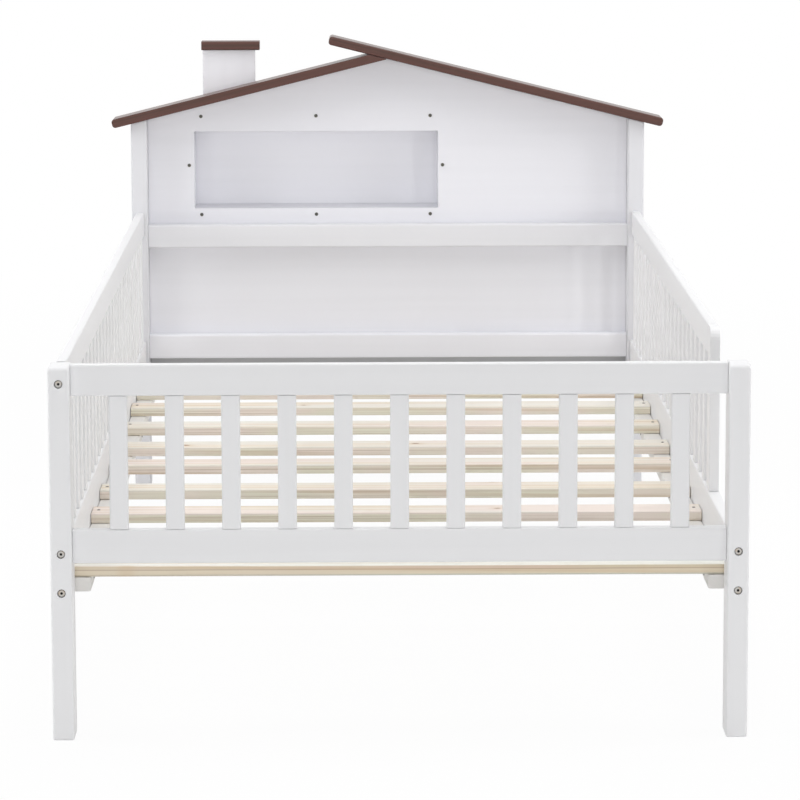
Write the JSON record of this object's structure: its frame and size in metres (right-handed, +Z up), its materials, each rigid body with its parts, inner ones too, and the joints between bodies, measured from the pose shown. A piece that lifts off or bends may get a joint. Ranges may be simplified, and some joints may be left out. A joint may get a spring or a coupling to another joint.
{
  "type": "house headboard bed",
  "caption": "Child's single bed with a house gable headboard, shelf niche, roof and chimney, picket footboard and guards with an entry, on a slatted base.",
  "frame": {"origin": "on the floor under the middle of the bed, at the bottom centre of its bounding box", "axes": "+Z up, +Y along the bed from the foot end to the headboard, +X to the right seen from the foot end"},
  "size_m": [1.0454, 2.1696, 0.8648],
  "materials": {
    "white_paint": "smooth white paint, satin",
    "bare_pine": "bare planed pine",
    "brown_stain": "brown paint, satin",
    "zinc_steel": "zinc plated"
  },
  "bodies": {
    "root": {"foot_post_left": "white_paint", "foot_post_right": "white_paint", "head_post_left": "white_paint", "head_post_right": "white_paint", "footboard_top_rail": "white_paint", "footboard_bottom_rail": "white_paint", "footboard_picket_01": "white_paint", "footboard_picket_02": "white_paint", "footboard_picket_03": "white_paint", "footboard_picket_04": "white_paint", "footboard_picket_05": "white_paint", "footboard_picket_06": "white_paint", "footboard_picket_07": "white_paint", "footboard_picket_08": "white_paint", "footboard_picket_09": "white_paint", "footboard_picket_10": "white_paint", "footboard_picket_11": "white_paint", "side_rail_left": "white_paint", "side_rail_right": "white_paint", "guard_left": "white_paint", "guard_right": "white_paint", "guard_right_end_stile": "white_paint", "slat_cleat_left": "white_paint", "slat_cleat_right": "white_paint", "slat_01": "bare_pine", "slat_02": "bare_pine", "slat_03": "bare_pine", "slat_04": "bare_pine", "slat_05": "bare_pine", "slat_06": "bare_pine", "slat_07": "bare_pine", "slat_08": "bare_pine", "slat_09": "bare_pine", "slat_10": "bare_pine", "gable_panel": "white_paint", "headboard_lower_panel": "white_paint", "headboard_upper_rail": "white_paint", "headboard_lower_rail": "white_paint", "niche_bottom_board": "white_paint", "niche_top_board": "white_paint", "niche_left_board": "white_paint", "niche_right_board": "white_paint", "niche_back": "white_paint", "roof_board_right": "brown_stain", "roof_board_left": "brown_stain", "chimney_board": "white_paint", "chimney_cap": "brown_stain", "foot_bolt_left_lower": "zinc_steel", "foot_bolt_left_middle": "zinc_steel", "foot_bolt_left_upper": "zinc_steel", "foot_bolt_right_lower": "zinc_steel", "foot_bolt_right_middle": "zinc_steel", "head_bolt_left_lower": "zinc_steel", "head_bolt_left_middle": "zinc_steel", "head_bolt_left_upper": "zinc_steel", "head_bolt_right_lower": "zinc_steel", "head_bolt_right_middle": "zinc_steel", "head_bolt_right_upper": "zinc_steel"}
  },
  "joints": []
}
